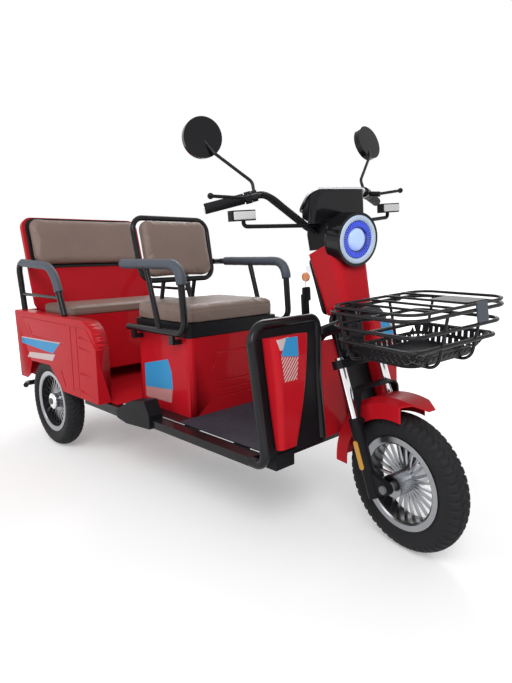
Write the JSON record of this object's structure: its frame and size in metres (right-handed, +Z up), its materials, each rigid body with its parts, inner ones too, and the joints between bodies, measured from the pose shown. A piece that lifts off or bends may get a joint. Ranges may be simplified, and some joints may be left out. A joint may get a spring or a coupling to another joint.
{
  "type": "electric cargo tricycle",
  "caption": "Electric utility tricycle with a steered front wheel, a lidded basket, a rider's place and a rear passenger bench in a cargo body.",
  "frame": {"origin": "on the ground, under the middle of the vehicle's overall length and width", "axes": "+Z up, -Y towards the front, +X to the rider's left"},
  "size_m": [0.7801, 2.2496, 1.3196],
  "materials": {
    "black_steel": "gloss black enamel on steel tube",
    "floor_rubber": "dark ribbed mat",
    "dark_aluminium": "dark anodised extrusion",
    "black_plastic": "grained black moulding",
    "gloss_black": "polished black moulding",
    "red_paint": "gloss red paint",
    "battery_case": "plain battery block",
    "brown_leather": "brown synthetic leather",
    "grey_foam": "soft dark grey foam",
    "grey_steel": "dark grey painted steel",
    "lamp_red": "red lamp lens",
    "lamp_white": "pale lamp lens in a black case",
    "lamp_glass": "clear lamp cover",
    "bright_chrome": "polished chrome",
    "black_alloy": "black coated alloy",
    "grip_rubber": "patterned rubber",
    "black_wire": "black coated steel wire",
    "tyre_rubber": "grooved tyre rubber",
    "wheel_alloy": "bright machined alloy, black between the spokes"
  },
  "bodies": {
    "chassis": {"frame": "black_steel", "floor_pan": "black_steel", "floor_mat": "floor_rubber", "sills": "dark_aluminium", "side_covers": "black_plastic", "shield_frame": "black_steel", "shield_liner": "black_plastic", "shield_wings": "red_paint", "front_panel": "red_paint", "rider_box": "red_paint", "battery": "battery_case", "backrest_frame": "black_steel", "backrest_cushion": "brown_leather", "armrests": "black_steel", "arm_pads": "grey_foam", "body_sides": "red_paint", "body_floor": "red_paint", "bench_box": "red_paint", "bench_cushion": "brown_leather", "rear_backrest": "red_paint", "rear_cushion": "brown_leather", "side_rails": "black_steel", "rear_axle": "grey_steel", "leaf_springs": "grey_steel", "rear_bumper": "black_steel", "tail_lamps": "lamp_red"},
    "steer": {"fork_crown": "black_steel", "stanchions": "bright_chrome", "fork_sliders": "black_alloy", "front_axle": "grey_steel", "front_fender": "red_paint", "fender_brace": "black_plastic", "column_cowl": "red_paint", "column_cover": "black_plastic", "ignition_lock": "black_plastic", "headlight": "gloss_black", "headlight_lens": "lamp_glass", "dash_pod": "gloss_black", "head_cowl": "black_plastic", "handlebar": "black_steel", "grips": "grip_rubber", "brake_levers": "black_alloy", "mirrors": "gloss_black", "turn_signals": "lamp_white", "basket_bin": "black_plastic", "basket_frame": "black_wire"},
    "basket_lid_body": {"basket_lid": "black_wire"},
    "front_wheel": {"front_tyre": "tyre_rubber", "front_rim": "wheel_alloy"},
    "rear_wheel_right": {"rear_tyre_right": "tyre_rubber", "rear_rim_right": "wheel_alloy"},
    "rear_wheel_left": {"rear_tyre_left": "tyre_rubber", "rear_rim_left": "wheel_alloy"},
    "front_seat": {"rider_base": "black_plastic", "rider_cushion": "brown_leather"}
  },
  "joints": [
    {"name": "steering", "type": "hinge", "parent": "chassis", "child": "steer", "pos_m": [0, -0.845, 0.209], "axis": [0, 0.3256, 0.9455], "range_deg": [-26, 50]},
    {"name": "front_wheel_spin", "type": "hinge", "parent": "steer", "child": "front_wheel", "pos_m": [-0.0116, -0.90285, 0.2086], "axis": [0.9781, -0.1966, 0.0677], "continuous": true},
    {"name": "rear_wheel_right_spin", "type": "hinge", "parent": "chassis", "child": "rear_wheel_right", "pos_m": [-0.334, 0.732, 0.209], "axis": [1, 0, 0], "continuous": true},
    {"name": "rear_wheel_left_spin", "type": "hinge", "parent": "chassis", "child": "rear_wheel_left", "pos_m": [0.334, 0.732, 0.209], "axis": [1, 0, 0], "continuous": true},
    {"name": "basket_lid_hinge", "type": "hinge", "parent": "steer", "child": "basket_lid_body", "pos_m": [-0.02419, -0.7866, 0.72817], "axis": [-0.9781, 0.1966, -0.0677], "range_deg": [0, 95]},
    {"name": "front_seat_hinge", "type": "hinge", "parent": "chassis", "child": "front_seat", "pos_m": [0, -0.158, 0.582], "axis": [1, 0, 0], "range_deg": [0, 85]}
  ]
}
